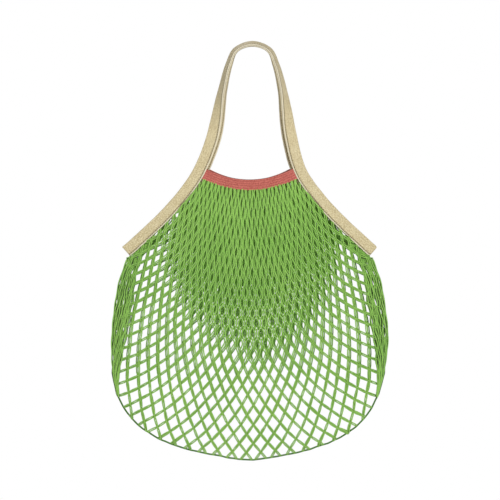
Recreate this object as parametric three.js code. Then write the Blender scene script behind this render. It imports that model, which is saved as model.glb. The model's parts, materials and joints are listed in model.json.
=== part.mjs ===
// String shopping bag, hanging empty from its two handles, in millimetres with +Z up.
// The front faces -Y. The origin is the point the bag hangs from, under the top of both handle loops.
// A knotless net pouch hangs from two short mouth bands and from two tapes. Each tape binds one face's
// two slit edges and runs on between them as that face's handle.
import * as THREE from "three";
import { mergeVertices } from "three/addons/utils/BufferGeometryUtils.js";

// Heights, stacked downwards from the hanging point.
const handleDrop = 174.5; // to the mouth, on the centre line of the tapes
const slitDrop = 112.5; // from the mouth to the bottom of the side slits
const foldDrop = 193; // from the slits to the corners where side folds and bottom seam meet
const seamSag = 92.5; // from those corners to the lowest point of the bottom seam

// Widths, across the whole bag.
const mouthSpan = 142; // between the centre lines of a tape at the mouth
const slitSpan = 346; // between the centre lines of a tape at the bottom of the slits
const netWidth = 389; // over the net at its widest
const handleLean = 3.8; // the handles lean this far to the right of the net
const seamDrift = 3; // the seam's corners hang this far to the left of the net

// Depths, front to back.
const mouthDepth = 28; // between the two tapes at the mouth
const bellyDepth = 46; // between the two net walls at the belly
const archGap = 1.5; // between the two handles at the top of their loops

// The handle tape, folded double.
const tapeWidth = 17;
const tapeThickness = 2.8;
const tapeEdgeRound = 0.8;
const backInset = 4; // each side of the back handle hangs this far inside the front one

// The mouth band.
const bandHeight = 15.5;
const bandThickness = 2;
const bandSag = 16; // of its top edge, between the tapes

// The net.
const netWall = 2.4;
const netColumns = 9; // meshes across one face
const netRows = 7; // meshes from the mouth to the bottom seam
const slitRows = 3; // of them beside the slit
const strandWidth = 6.4; // of the bundle of cord between two gaps
const smallestGap = 11.5; // a mesh whose opening would be narrower hangs closed
const crowding = 0.42; // how far the columns draw together in the middle, as a share of their spread
const bulgePower = 4; // how flat the belly's bulge is across the middle: higher is flatter
const seamEdge = 3.5; // width of the closed edge along folds and seam

// Pieces that meet keep this gap.
const pieceGap = 0.3;

// How finely the curves are cut into straight lengths.
const handleSteps = 16; // from the top of the loop to the mouth band
const bandEndSteps = 2; // down the end of the mouth band
const edgeSteps = 4; // lengths of slit, fold or seam edge for each mesh
const mouthSteps = 3; // lengths of mouth edge for each mesh
const searchSteps = 40; // halvings that find a place along a curve
const weldDistance = 1e-3; // vertices nearer than this are one

const colours = { tape: 0xd9c9a0, band: 0xd0605c, net: 0x79ad4b };

// Centre line of a tape on one side of its face, from the top of the loop to the mouth.
// across: share of half the mouth span. down: share of the way from the top of the loop to the mouth.
// twist: degrees that the tape is turned on edge. lean: share of the bag's place left of the origin.
// depth: share of the way from the loop's depth to the mouth's. inset: share of the back handle's inset.
const handleShape = [
  { across: 0, down: 0, twist: 71, lean: 0, depth: 0, inset: 0 },
  { across: 0.33, down: 0.048, twist: 71, lean: 0, depth: 0, inset: 0 },
  { across: 0.478, down: 0.162, twist: 70, lean: 0, depth: 0.1, inset: 0.5 },
  { across: 0.616, down: 0.375, twist: 60, lean: 0, depth: 0.4, inset: 0.7 },
  { across: 0.776, down: 0.736, twist: 8, lean: 0.3, depth: 0.9, inset: 1 },
  { across: 1, down: 1, twist: 0, lean: 1, depth: 1, inset: 1 },
];

// The same centre line from the mouth down to the bottom of the slit.
// across and down: shares of the way from the mouth to the slit's bottom. depth: share of the mouth's.
const slitShape = [
  { across: 0.225, down: 0.303, depth: 0.8, inset: 0.7 },
  { across: 0.472, down: 0.554, depth: 0.55, inset: 0.4 },
  { across: 0.784, down: 0.824, depth: 0.22, inset: 0.1 },
  { across: 1, down: 1, depth: 0, inset: 0 },
];

// Outline of a side fold, from the slit's bottom to the seam corner.
// across: share of the way from the slit's edge to the widest line. down: share of the fold's drop.
// drift: share of the seam's drift.
const foldShape = [
  { across: 0.25, down: 0.015, drift: 0 },
  { across: 0.38, down: 0.08, drift: 0 },
  { across: 0.6, down: 0.165, drift: 0 },
  { across: 0.83, down: 0.34, drift: 0 },
  { across: 1, down: 0.6, drift: 0 },
  { across: 0.89, down: 0.82, drift: 0.6 },
  { across: 0.6, down: 1, drift: 1 },
];

// Outline of the bottom seam, from a corner to its lowest point.
// across: share of the corner's distance from the middle. down: share of the seam's sag.
const seamShape = [
  { across: 0.91, down: 0.32 },
  { across: 0.745, down: 0.61 },
  { across: 0.51, down: 0.814 },
  { across: 0.25, down: 0.934 },
  { across: 0, down: 1 },
];

const bagMiddle = -handleLean;
const lerp = THREE.MathUtils.lerp;
const radians = THREE.MathUtils.degToRad;
const spanOf = (from, to, steps) => Array.from({ length: steps }, (_, k) => lerp(from, to, k / steps));

// A curve that passes through a point for each row.
const smoothCurve = (points) => new THREE.CatmullRomCurve3(points, false, "centripetal");

// One face's tape, from the bottom of the left slit over the loop to the bottom of the right slit.
// The front face is made; the back one is the same, a little narrower, and is mirrored afterwards.
function tapeOf(inset) {
  const topTwist = radians(handleShape[0].twist);
  const loopRise = (tapeWidth / 2) * Math.cos(topTwist) + (tapeThickness / 2) * Math.sin(topTwist);
  const loopReach = (tapeWidth / 2) * Math.sin(topTwist) + (tapeThickness / 2) * Math.cos(topTwist);
  const loopDepth = archGap / 2 + loopReach;
  const slitDepth = pieceGap / 2 + tapeThickness / 2;
  const half = handleShape.map((row) => ({
    x: (row.across * mouthSpan) / 2 - row.inset * inset,
    z: lerp(loopRise, -handleDrop, row.down),
    depth: lerp(loopDepth, mouthDepth / 2, row.depth),
    lean: row.lean,
    twist: radians(row.twist),
  }));
  for (const row of slitShape)
    half.push({
      x: lerp(mouthSpan, slitSpan, row.across) / 2 - row.inset * inset,
      z: -handleDrop - slitDrop * row.down,
      depth: lerp(slitDepth, mouthDepth / 2, row.depth),
      lean: 1,
      twist: 0,
    });
  const place = (row, side) => new THREE.Vector3(side * row.x + row.lean * bagMiddle, -row.depth, row.z);
  const turn = (row, side) => new THREE.Vector3(side * row.twist, 0, 0);
  const left = half.slice(1).reverse();
  const path = smoothCurve([...left.map((row) => place(row, -1)), ...half.map((row) => place(row, 1))]);
  const twists = smoothCurve([...left.map((row) => turn(row, 1)), ...half.map((row) => turn(row, 1))]);
  const mouthAt = (side) => {
    const t = 0.5 + (side * (handleShape.length - 1)) / (2 * (half.length - 1));
    return shareOfLength(path, t);
  };
  return { path, twists, leftMouth: mouthAt(-1), rightMouth: mouthAt(1), length: path.getLength() };
}

// The share of a curve's length that lies before its parameter t.
function shareOfLength(curve, t) {
  let low = 0;
  let high = 1;
  for (let k = 0; k < searchSteps; k++) {
    const middle = (low + high) / 2;
    if (curve.getUtoTmapping(middle) < t) low = middle;
    else high = middle;
  }
  return low;
}

// The tape at a share of its length: its centre, the direction of its width and that of its thickness.
function tapeFrame(tape, share) {
  const t = tape.path.getUtoTmapping(share);
  const centre = tape.path.getPoint(t);
  const along = tape.path.getTangent(t);
  const depthwise = new THREE.Vector3(0, 1, 0);
  const outward = new THREE.Vector3().crossVectors(depthwise, along).multiplyScalar(-1).normalize();
  const twist = tape.twists.getPoint(t).x;
  const back = new THREE.Vector3().crossVectors(along, outward).normalize();
  const width = outward.clone().multiplyScalar(Math.cos(twist)).addScaledVector(back, Math.sin(twist));
  const thickness = new THREE.Vector3().crossVectors(width, along).normalize();
  return { centre, width, thickness };
}

// A point beside the tape's inner edge, on the net's side.
function besideTape(tape, share) {
  const { centre, width } = tapeFrame(tape, share);
  return centre.addScaledVector(width, -(tapeWidth / 2 + pieceGap));
}

// Shares of the tape's length at its cross sections. They fall at the ends of the mouth band,
// and on the net's own edge points beside the slits.
function tapeShares(tape) {
  const endLength = bandHeight / 2 / tape.length;
  const slitSteps = slitRows * edgeSteps;
  const right = [
    ...spanOf(0.5, tape.rightMouth - endLength, handleSteps),
    ...spanOf(tape.rightMouth - endLength, tape.rightMouth + endLength, bandEndSteps),
    ...spanOf(tape.rightMouth + endLength, 1, slitSteps),
    1,
  ];
  const left = right.slice(1).map((share) => 1 - share);
  return [...left.reverse(), ...right];
}

// A closed body from triangles that share no vertices yet.
function bodyFrom(triangles) {
  const positions = new Float32Array(triangles.length * 9);
  triangles.forEach((corners, k) => corners.forEach((p, c) => p.toArray(positions, 9 * k + 3 * c)));
  const geometry = new THREE.BufferGeometry();
  geometry.setAttribute("position", new THREE.BufferAttribute(positions, 3));
  return mergeVertices(geometry, weldDistance);
}

// A bar whose cross sections are rings of points. Each ring runs down one side and up the other, and
// each end is closed by strips from side to side, so that a bent end stays bent.
function barThrough(rings) {
  const count = rings[0].length;
  const triangles = [];
  for (let k = 0; k + 1 < rings.length; k++)
    for (let c = 0; c < count; c++) {
      const d = (c + 1) % count;
      triangles.push([rings[k][c], rings[k + 1][d], rings[k][d]]);
      triangles.push([rings[k][c], rings[k + 1][c], rings[k + 1][d]]);
    }
  const [first, last] = [rings[0], rings[rings.length - 1]];
  for (let c = 0; c + 1 < count / 2; c++) {
    const [d, e, f] = [c + 1, count - 2 - c, count - 1 - c];
    triangles.push([first[c], first[d], first[e]], [first[c], first[e], first[f]]);
    triangles.push([last[c], last[e], last[d]], [last[c], last[f], last[e]]);
  }
  return bodyFrom(triangles);
}

// The tape's own body: a flat section with eased corners, carried along its centre line.
function strapBody(tape) {
  const w = tapeWidth / 2;
  const h = tapeThickness / 2;
  const r = Math.min(tapeEdgeRound, h * 0.9);
  const section = [
    [w, h - r],
    [w - r, h],
    [r - w, h],
    [-w, h - r],
    [-w, r - h],
    [r - w, -h],
    [w - r, -h],
    [w, r - h],
  ];
  const rings = tapeShares(tape).map((share) => {
    const { centre, width, thickness } = tapeFrame(tape, share);
    return section.map(([a, b]) => centre.clone().addScaledVector(width, a).addScaledVector(thickness, b));
  });
  return barThrough(rings);
}

// A line that hangs between the two sides of a tape, from reach above the mouth (or below it, if
// negative). It sags so that a band of the full height fits between two such lines in the middle.
// u runs from 0 at the left side to 1 at the right one.
function lineAcross(tape, reach) {
  const left = besideTape(tape, tape.leftMouth + reach / tape.length);
  const right = besideTape(tape, tape.rightMouth - reach / tape.length);
  const bandTop = besideTape(tape, tape.leftMouth + bandHeight / 2 / tape.length);
  const sag = bandSag + left.z - bandTop.z + bandHeight / 2 - reach;
  return (u) => {
    const point = left.clone().lerp(right, u);
    point.z -= 4 * sag * u * (1 - u);
    return point;
  };
}

// The mouth band's body: a strip between its two edges, cut off along the tapes.
function bandBody(tape) {
  const lines = [...spanOf(bandHeight / 2, -bandHeight / 2, bandEndSteps), -bandHeight / 2].map((reach) =>
    lineAcross(tape, reach),
  );
  const out = new THREE.Vector3(0, bandThickness / 2, 0);
  const steps = netColumns * mouthSteps;
  const rings = [...spanOf(1, 0, steps), 0].map((u) => {
    const points = lines.map((line) => line(u));
    const front = points.map((p) => p.clone().sub(out));
    const back = points.map((p) => p.clone().add(out)).reverse();
    return [...front, ...back];
  });
  return barThrough(rings);
}

// Outline of one side of the net below the slit, and of the whole bottom seam, both flat.
// The depth that they carry is half the wall, so that the two faces' inner skins meet there.
function foldCurve(tape, side) {
  const start = besideTape(tape, side < 0 ? 0 : 1);
  const edge = Math.abs(start.x - bagMiddle);
  const at = (row) => {
    const x = bagMiddle - seamDrift * row.drift + side * lerp(edge, netWidth / 2, row.across);
    return new THREE.Vector3(x, -netWall / 2, start.z - foldDrop * row.down);
  };
  start.y = -netWall / 2;
  return smoothCurve([start, ...foldShape.map(at)]);
}

function seamCurve(left, right) {
  const at = (row, corner) => {
    const x = lerp(bagMiddle, corner.x, row.across);
    return new THREE.Vector3(x, corner.y, corner.z - seamSag * row.down);
  };
  const leftHalf = [left, ...seamShape.map((row) => at(row, left))];
  const rightHalf = seamShape.slice(0, -1).map((row) => at(row, right));
  return smoothCurve([...leftHalf, ...rightHalf.reverse(), right]);
}

// The middle surface of one face of the net. u runs across it from 0 to 1, v down it from 0 to 1.
// It is a patch between its four edges, with the belly's bulge added to its depth.
function faceSurface(tape) {
  const netReach = bandHeight / 2 + pieceGap;
  const topEdge = lineAcross(tape, -netReach);
  const sideTop = [tape.leftMouth - netReach / tape.length, tape.rightMouth + netReach / tape.length];
  const folds = [foldCurve(tape, -1), foldCurve(tape, 1)];
  const seam = seamCurve(folds[0].getPoint(1), folds[1].getPoint(1));
  const slitEnd = slitRows / netRows;
  const sideEdge = (right, v) => {
    if (v >= slitEnd) return folds[right].getPointAt(Math.min((v - slitEnd) / (1 - slitEnd), 1));
    return besideTape(tape, lerp(sideTop[right], right, v / slitEnd));
  };
  const corners = [sideEdge(0, 0), sideEdge(1, 0), sideEdge(0, 1), sideEdge(1, 1)];
  const patch = (u, v) => {
    const point = new THREE.Vector3();
    const add = (p, weight) => point.addScaledVector(p, weight);
    add(topEdge(u), 1 - v);
    add(seam.getPointAt(u), v);
    add(sideEdge(0, v), 1 - u);
    add(sideEdge(1, v), u);
    add(corners[0], -(1 - u) * (1 - v));
    add(corners[1], -u * (1 - v));
    add(corners[2], -(1 - u) * v);
    add(corners[3], -u * v);
    return point;
  };
  const bulge = bellyDepth / 2 + patch(0.5, 0.5).y;
  return (u, v) => {
    const point = patch(u, v);
    point.y -= bulge * (1 - (2 * u - 1) ** bulgePower) * Math.sin(Math.PI * v);
    return point;
  };
}

// The meshes of one face, as polygons of (column, row) points that tile it. Each is a lozenge about a
// centre; at the net's edges it is half a lozenge, whose outer side is split to follow the edge.
function meshOutlines() {
  const outlines = [];
  const addOutline = (a, b) => {
    const lozenge = [
      [a - 0.5, b],
      [a, b + 0.5],
      [a + 0.5, b],
      [a, b - 0.5],
    ];
    const inside = ([x, y]) => x >= 0 && x <= netColumns && y >= 0 && y <= netRows;
    const kept = lozenge.filter(inside);
    if (kept.length === 4) {
      outlines.push(kept);
      return;
    }
    const missing = lozenge.findIndex((corner) => !inside(corner));
    const apex = lozenge[(missing + 2) % 4];
    const from = lozenge[(missing + 3) % 4];
    const to = lozenge[(missing + 1) % 4];
    const split = b === 0 ? mouthSteps : edgeSteps;
    const edge = spanOf(0, 1, split).map((s) => [lerp(from[0], to[0], s), lerp(from[1], to[1], s)]);
    outlines.push([apex, ...edge, to]);
  };
  for (let b = 0; b <= netRows; b++) for (let a = 0; a < netColumns; a++) addOutline(a + 0.5, b);
  for (let b = 0; b < netRows; b++) for (let a = 0; a <= netColumns; a++) addOutline(a, b + 0.5);
  return outlines;
}

// The columns stand closer together in the middle of the face than at its sides, most of all halfway
// down.
const crowdedShare = (s, v) => {
  const from = 2 * s - 1;
  const amount = crowding * 4 * v * (1 - v);
  return (1 + from * (1 - amount + amount * Math.abs(from))) / 2;
};

// The net pouch: two faces that meet along the side folds and the bottom seam and stand apart at the
// mouth and the side slits. Each has an outer and an inner skin, a wall apart, and the same meshes.
function pouchBody(frontTape, backTape) {
  const surfaces = [faceSurface(frontTape), faceSurface(backTape)];
  const isClosedEdge = (a, b) => b === netRows || ((a === 0 || a === netColumns) && b >= slitRows);
  const insetColumns = (seamEdge / netWidth) * netColumns;
  const insetRows = (seamEdge / (slitDrop + foldDrop)) * netRows;
  const point = (face, skin, [a, b]) => {
    let [x, y] = [a, b];
    if (skin === "inner" && isClosedEdge(a, b)) {
      x = THREE.MathUtils.clamp(a, insetColumns, netColumns - insetColumns);
      y = Math.min(b, netRows - insetRows);
    }
    const shared = skin === "inner" && isClosedEdge(a, b);
    const surface = surfaces[shared ? 0 : face];
    const p = surface(crowdedShare(x / netColumns, y / netRows), y / netRows);
    p.y += skin === "outer" ? -netWall / 2 : netWall / 2;
    if (shared) p.y = 0;
    if (face === 1) p.y = -p.y;
    return p;
  };
  const triangles = [];
  const addPolygon = (points, turned) => {
    for (let k = 1; k + 1 < points.length; k++) {
      const corners = [points[0], points[k], points[k + 1]];
      triangles.push(turned ? corners.reverse() : corners);
    }
  };
  for (const face of [0, 1])
    for (const outline of meshOutlines()) {
      const turned = face === 1;
      const outer = outline.map((corner) => point(face, "outer", corner));
      const inner = outline.map((corner) => point(face, "inner", corner));
      const opening = openingShare(outline, outer);
      if (!opening) {
        addPolygon(outer, turned);
        addPolygon(inner, !turned);
        continue;
      }
      const outerRim = towardsMiddle(outer, opening);
      const innerRim = towardsMiddle(inner, opening);
      for (let k = 0; k < outline.length; k++) {
        const n = (k + 1) % outline.length;
        addPolygon([outer[k], outer[n], outerRim[n], outerRim[k]], turned);
        addPolygon([inner[k], inner[n], innerRim[n], innerRim[k]], !turned);
        addPolygon([outerRim[k], outerRim[n], innerRim[n], innerRim[k]], turned);
      }
    }
  addEdgeWalls(point, addPolygon);
  return bodyFrom(triangles);
}

// A polygon shrunk about its middle.
function towardsMiddle(points, share) {
  const middle = points.reduce((sum, p) => sum.add(p), new THREE.Vector3()).divideScalar(points.length);
  return points.map((p) => middle.clone().lerp(p, share));
}

// The share of a mesh that its gap takes up, or 0 where the mesh hangs closed.
function openingShare(outline, points) {
  const touchesSide = outline.some(([a]) => a === 0 || a === netColumns);
  const touchesTop = outline.some(([, b]) => b === 0);
  if (touchesSide || touchesTop) return 0;
  let area = 0;
  let girth = 0;
  points.forEach((p, k) => {
    const q = points[(k + 1) % points.length];
    area += (p.x * q.z - q.x * p.z) / 2;
    girth += p.distanceTo(q);
  });
  const halfAcross = (2 * area) / girth;
  const halfOpening = halfAcross - strandWidth / 2;
  const least = points.length === 4 ? smallestGap : smallestGap / 2;
  return halfOpening < least ? 0 : halfOpening / halfAcross;
}

// The narrow walls along the net's edges: from skin to skin at the mouth and the slits,
// and from face to face round the side folds and the bottom seam.
function addEdgeWalls(point, addPolygon) {
  const splitSpan = (from, to, split) => [...spanOf(from, to, (to - from) * split), to];
  const mouth = splitSpan(0, netColumns, mouthSteps).map((a) => [a, 0]);
  const leftSlit = splitSpan(0, slitRows, edgeSteps).map((b) => [0, b]);
  const rightSlit = leftSlit.map(([, b]) => [netColumns, b]);
  const leftFold = splitSpan(slitRows, netRows, edgeSteps).map((b) => [0, b]);
  const rightFold = leftFold.map(([, b]) => [netColumns, b]);
  const bottom = splitSpan(0, netColumns, edgeSteps).map((a) => [a, netRows]);
  const alongOpen = (corners, turned) => {
    for (const face of [0, 1])
      for (let k = 0; k + 1 < corners.length; k++) {
        const skins = ["outer", "inner"].map((skin) => [
          point(face, skin, corners[k]),
          point(face, skin, corners[k + 1]),
        ]);
        addPolygon([skins[0][0], skins[0][1], skins[1][1], skins[1][0]], turned !== (face === 1));
      }
  };
  const alongClosed = (corners, turned) => {
    for (let k = 0; k + 1 < corners.length; k++) {
      const fronts = [point(0, "outer", corners[k]), point(0, "outer", corners[k + 1])];
      const backs = [point(1, "outer", corners[k]), point(1, "outer", corners[k + 1])];
      addPolygon([fronts[0], fronts[1], backs[1], backs[0]], turned);
    }
  };
  const slitBottom = (corner, turned) => {
    addPolygon([point(0, "outer", corner), point(0, "inner", corner), point(1, "outer", corner)], turned);
  };
  alongOpen(mouth, false);
  alongOpen(leftSlit, true);
  alongOpen(rightSlit, false);
  alongClosed(leftFold, true);
  alongClosed(rightFold, false);
  alongClosed(bottom, true);
  slitBottom([0, slitRows], false);
  slitBottom([netColumns, slitRows], true);
}

// The back is the front's mirror image, with its faces turned outwards again.
function mirrored(geometry) {
  const back = geometry.clone().scale(1, -1, 1);
  const index = back.index.array;
  for (let k = 0; k < index.length; k += 3) [index[k + 1], index[k + 2]] = [index[k + 2], index[k + 1]];
  return back;
}

const bag = new THREE.Group();

function addPiece(name, geometry, colour, roughness) {
  const material = new THREE.MeshStandardMaterial({ color: colour, roughness, metalness: 0 });
  const piece = new THREE.Mesh(geometry, material);
  piece.name = name;
  bag.add(piece);
}

const frontTape = tapeOf(0);
const backTape = tapeOf(backInset);

addPiece("strap_front", strapBody(frontTape), colours.tape, 0.9);
addPiece("strap_back", mirrored(strapBody(backTape)), colours.tape, 0.9);
addPiece("mouth_band_front", bandBody(frontTape), colours.band, 0.85);
addPiece("mouth_band_back", mirrored(bandBody(backTape)), colours.band, 0.85);
addPiece("net_pouch", pouchBody(frontTape, backTape), colours.net, 0.8);

export default bag;
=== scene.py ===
"""A worn string shopping bag, hanging empty from its two handles. Sizes are in millimetres, z up.

The front faces -y. The origin is the point the bag hangs from, under the top of both handle loops.
"""

import bpy
import json
import numpy as np
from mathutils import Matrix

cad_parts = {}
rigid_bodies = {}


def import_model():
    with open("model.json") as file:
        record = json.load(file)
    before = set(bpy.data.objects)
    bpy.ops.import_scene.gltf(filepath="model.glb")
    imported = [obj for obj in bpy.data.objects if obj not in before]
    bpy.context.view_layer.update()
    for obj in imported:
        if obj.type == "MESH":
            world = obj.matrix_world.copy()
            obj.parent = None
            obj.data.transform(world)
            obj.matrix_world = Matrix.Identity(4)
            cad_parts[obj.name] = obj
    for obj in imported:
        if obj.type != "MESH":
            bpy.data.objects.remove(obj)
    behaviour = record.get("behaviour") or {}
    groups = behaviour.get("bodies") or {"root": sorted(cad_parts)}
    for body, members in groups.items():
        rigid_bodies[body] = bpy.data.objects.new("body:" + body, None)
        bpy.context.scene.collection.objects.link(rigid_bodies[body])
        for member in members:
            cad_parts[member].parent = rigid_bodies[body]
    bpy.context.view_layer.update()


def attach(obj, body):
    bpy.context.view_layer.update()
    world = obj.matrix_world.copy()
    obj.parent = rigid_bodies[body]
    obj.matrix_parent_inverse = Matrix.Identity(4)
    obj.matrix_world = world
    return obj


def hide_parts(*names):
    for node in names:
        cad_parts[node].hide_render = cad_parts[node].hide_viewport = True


for left_over in list(bpy.data.objects):
    bpy.data.objects.remove(left_over)
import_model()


# Tapes. Each face has one tape of undyed cotton, folded double over both edges of the net's slits and
# running on between them as that face's handle. The fold is at the outer edge. The two open edges
# lie together at the inner one, stitched down over the net, and hide its cut ends.
HANDLE_DROP = 174.5  # from the hanging point to the mouth
SLIT_DROP = 112.5  # from the mouth to the bottom of the slits
MOUTH_SPAN = 142.0  # between a tape's two sides at the mouth
SLIT_SPAN = 346.0  # and at the bottom of the slits
MOUTH_DEPTH = 28.0  # between the front and the back tape at the mouth
ARCH_GAP = 1.5  # and at the top of the loop, from edge to edge
HANDLE_LEAN = 3.8  # the handles lean this far to the right of the net
BAG_MIDDLE = -HANDLE_LEAN
BACK_INSET = 4.0  # each side of the back handle hangs this far inside the front one
PIECE_GAP = 0.3  # between the tapes, and from a tape to what lies beside it
TAPE_WIDTH = 17.0
TAPE_THICKNESS = 2.8
LAYER = 1.22  # one layer of the folded tape
PARTING = 4.2  # the layers lie apart this far in from their open edges
SECTION_STEP = 2.0  # from one section to the next, along a tape or the seam
WEAR_STEPS = 70  # places along a tape where it is worn in its own way
SWAY, CURL = 0.08, 0.06  # there it strays sideways, and its edges curl, by about this much
END_ROUND = 3.2  # a tape's end narrows over this length
END_WIDTH = 0.78  # to this share of its width
STITCH_ROW = 2.5  # from the inner edge to the row of stitches
STITCH_PITCH = 3.3
STITCH_LENGTH = 2.5
STITCH_MARGIN = 1.5  # from the tape's ends to the first and the last stitch
STITCH_RADIUS = 0.28
STITCH_SUNK = 0.45  # how deep a stitch's ends lie in the tape
STITCH_RISE = 0.42  # how far its middle rises above its ends
PINCH = 0.16  # the stitches draw each layer in by this much
PINCH_REACH = 0.7  # so far to either side
SIDES = 5  # of every thread
# Lines painted along it, measured from the inner edge: a painted highlight where the selvedge catches the
# light, and painted shade in the sewn-down furrow beside it.
# Each has its place, half its width, its colour and its strength.
TAPE_PAINTED_LINES = [(0.6, 0.9, "fbf2d8", 0.9), (2.5, 0.75, "5f4a22", 0.85)]
# Rows down one side: share across, share down, twist in degrees, share of lean, of depth and of inset.
HANDLE_SHAPE = np.array([
    (0, 0, 71, 0, 0, 0),
    (0.33, 0.048, 71, 0, 0, 0),
    (0.478, 0.162, 70, 0, 0.1, 0.5),
    (0.616, 0.375, 60, 0, 0.4, 0.7),
    (0.776, 0.736, 8, 0.3, 0.9, 1),
    (1, 1, 0, 1, 1, 1),
])
# Rows from the mouth to the bottom of the slit: share across, share down, share of depth and of inset.
SLIT_SHAPE = np.array([
    (0.225, 0.303, 0.8, 0.7),
    (0.472, 0.554, 0.55, 0.4),
    (0.784, 0.824, 0.22, 0.1),
    (1, 1, 0, 0),
])


def lerp(a, b, share):
    """The value that lies this share of the way from a to b."""
    return a + (b - a) * share


def normalised(vectors):
    """The same directions with length 1."""
    length = np.linalg.norm(vectors, axis=-1, keepdims=True)
    return vectors / np.maximum(length, 1e-12)


def smooth_curve(points, count):
    """Points on a curve through the given ones, and its directions there, count steps to each span.

    It is a centripetal Catmull-Rom curve: each span's ends slope as their neighbours ask, weighed by
    the square root of the distance between them.
    """
    points = np.asarray(points, float)
    padded = np.vstack([2 * points[0] - points[1], points, 2 * points[-1] - points[-2]])
    step = np.linalg.norm(np.diff(padded, axis=0), axis=1) ** 0.5
    middle = np.where(step[1:-1] < 1e-4, 1.0, step[1:-1])[:, None]
    before = np.where(step[:-2, None] < 1e-4, middle, step[:-2, None])
    after = np.where(step[2:, None] < 1e-4, middle, step[2:, None])
    p0, p1, p2, p3 = padded[:-3], padded[1:-2], padded[2:-1], padded[3:]
    slope1 = ((p1 - p0) / before - (p2 - p0) / (before + middle) + (p2 - p1) / middle) * middle
    slope2 = ((p2 - p1) / middle - (p3 - p1) / (middle + after) + (p3 - p2) / after) * middle
    parts = (p1, slope1, -3 * p1 + 3 * p2 - 2 * slope1 - slope2, 2 * p1 - 2 * p2 + slope1 + slope2)
    t = np.append(np.tile(np.linspace(0, 1, count, endpoint=False), len(p1)), 1.0)[:, None]
    span = np.append(np.repeat(np.arange(len(p1)), count), len(p1) - 1)
    a, b, c, d = (part[span] for part in parts)
    return a + t * (b + t * (c + t * d)), b + t * (2 * c + t * 3 * d)


def length_along(points):
    """The length along a row of points, from its start to each of them."""
    return np.append(0.0, np.cumsum(np.linalg.norm(np.diff(points, axis=0), axis=1)))


def sampled(places, known, values):
    """Values read at these places between the known ones, each column by itself."""
    return np.stack([np.interp(places, known, column) for column in np.asarray(values).T], axis=-1)


def tape_path(inset):
    """One tape from the bottom of the left slit over the loop to the bottom of the right one.

    Up the handle it turns about its own line, by the table's twist, until over the loop its open inner
    edge shows at the front. Its width direction is the outward one times the twist's cosine, less the
    forward one times its sine. Gives length so far, centre, width direction, thickness direction and
    the lengths at the two sides of the mouth.
    """
    top_twist = np.radians(HANDLE_SHAPE[0, 2])
    rise = TAPE_WIDTH / 2 * np.cos(top_twist) + TAPE_THICKNESS / 2 * np.sin(top_twist)
    reach = TAPE_WIDTH / 2 * np.sin(top_twist) + TAPE_THICKNESS / 2 * np.cos(top_twist)
    across, down, twist, lean, depth, drawn_in = HANDLE_SHAPE.T
    slit_across, slit_down, slit_depth, slit_in = SLIT_SHAPE.T
    x = np.append(across * MOUTH_SPAN / 2, lerp(MOUTH_SPAN, SLIT_SPAN, slit_across) / 2)
    x -= inset * np.append(drawn_in, slit_in)
    z = np.append(lerp(rise, -HANDLE_DROP, down), -HANDLE_DROP - SLIT_DROP * slit_down)
    y = -np.append(
        lerp(ARCH_GAP / 2 + reach, MOUTH_DEPTH / 2, depth),
        lerp(PIECE_GAP / 2 + TAPE_THICKNESS / 2, MOUTH_DEPTH / 2, slit_depth),
    )
    lean = np.append(lean, np.ones(len(slit_in))) * BAG_MIDDLE
    twist = np.radians(np.append(twist, np.zeros(len(slit_in))))
    left = np.stack([lean - x, y, z], axis=1)[:0:-1]
    right = np.stack([lean + x, y, z], axis=1)
    steps = 60
    centre, along = smooth_curve(np.vstack([left, right]), steps)
    turn = smooth_curve(np.append(twist[:0:-1], twist)[:, None] * (1, 0, 0), steps)[0][:, :1]
    along = normalised(along)
    outward = normalised(-np.cross((0.0, 1.0, 0.0), along))
    forward = normalised(np.cross(along, outward))
    width = np.cos(turn) * outward - np.sin(turn) * forward
    thickness = normalised(np.cross(width, along))
    length = length_along(centre)
    top = len(left) * steps
    mouth = (len(HANDLE_SHAPE) - 1) * steps
    return length, centre, width, thickness, (length[top - mouth], length[top + mouth])


def mesh_piece(name, vertices, faces, material, uv=None, smooth=True, to_back=False):
    """An object in metres from vertices in millimetres and tables of equal-sided faces.

    A piece of the back face is built in front and mirrored, which turns its faces round too.
    """
    if to_back:
        vertices = vertices * (1, -1, 1)
        faces = [table[:, ::-1] for table in faces]
    mesh = bpy.data.meshes.new(name)
    corners = np.concatenate([table.ravel() for table in faces]).astype(np.int32)
    sides = np.concatenate([np.full(len(table), table.shape[1]) for table in faces])
    mesh.vertices.add(len(vertices))
    mesh.vertices.foreach_set("co", (np.asarray(vertices) * 1e-3).astype(np.float32).ravel())
    mesh.loops.add(len(corners))
    mesh.loops.foreach_set("vertex_index", corners)
    mesh.polygons.add(len(sides))
    mesh.polygons.foreach_set("loop_start", (np.cumsum(sides) - sides).astype(np.int32))
    mesh.polygons.foreach_set("use_smooth", np.full(len(sides), smooth))
    if uv is not None:
        layer = mesh.uv_layers.new(name="UVMap")
        layer.data.foreach_set("uv", np.asarray(uv)[corners].astype(np.float32).ravel())
    mesh.update(calc_edges=True)
    mesh.materials.append(material)
    piece = bpy.data.objects.new(name, mesh)
    bpy.context.scene.collection.objects.link(piece)
    return piece


def swept(rings):
    """Vertices and triangles of a closed tube through rings of points, with a fan over each end."""
    stations, count = rings.shape[:2]
    k, c = np.meshgrid(np.arange(stations - 1), np.arange(count), indexing="ij")
    a, b = (k * count + c).ravel(), (k * count + (c + 1) % count).ravel()
    sides = np.vstack([np.stack([a, b, b + count], 1), np.stack([a, b + count, a + count], 1)])
    first, last = stations * count, stations * count + 1
    c = np.arange(count)
    d = (c + 1) % count
    base = (stations - 1) * count
    ends = np.vstack([
        np.stack([np.full(count, first), d, c], 1),
        np.stack([np.full(count, last), base + c, base + d], 1),
    ])
    vertices = np.vstack([rings.reshape(-1, 3), rings[0].mean(0), rings[-1].mean(0)])
    return vertices, np.vstack([sides, ends])


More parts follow.
